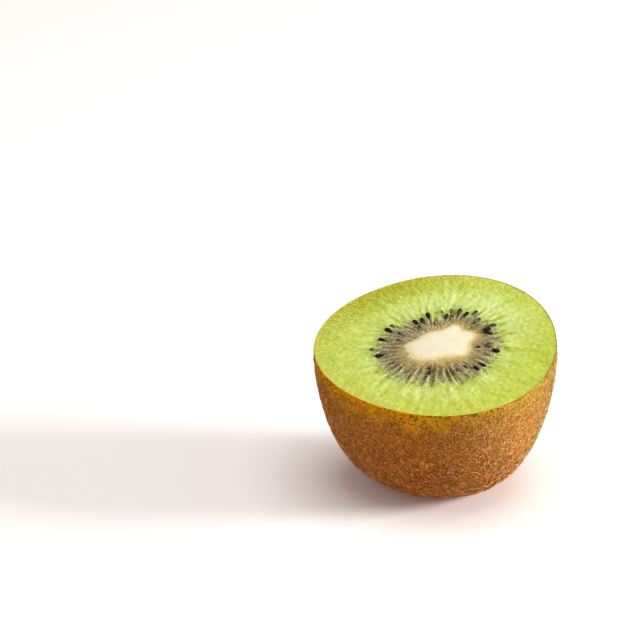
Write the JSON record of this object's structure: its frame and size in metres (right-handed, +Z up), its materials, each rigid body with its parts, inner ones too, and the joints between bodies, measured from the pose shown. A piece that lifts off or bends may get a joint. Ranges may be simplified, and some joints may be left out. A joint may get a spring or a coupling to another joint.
{
  "type": "kiwi fruit half",
  "caption": "Half of a green fruit with a thin hairy brown skin, standing on its blunt end with the cut face up: green flesh, a ring of small dark seeds and a pale core.",
  "frame": {"origin": "on the surface it stands on, below the middle of its box", "axes": "+Z up along the fruit's own axis; the cut face looks up and dips 12 degrees towards -Y, the front, and 3 degrees towards -X"},
  "size_m": [0.0512, 0.0522, 0.0362],
  "materials": {
    "flesh": "satin",
    "core": "satin",
    "skin": "matte",
    "seeds": "gloss"
  },
  "bodies": {
    "root": {"flesh": "flesh", "core": "core"}
  },
  "joints": []
}
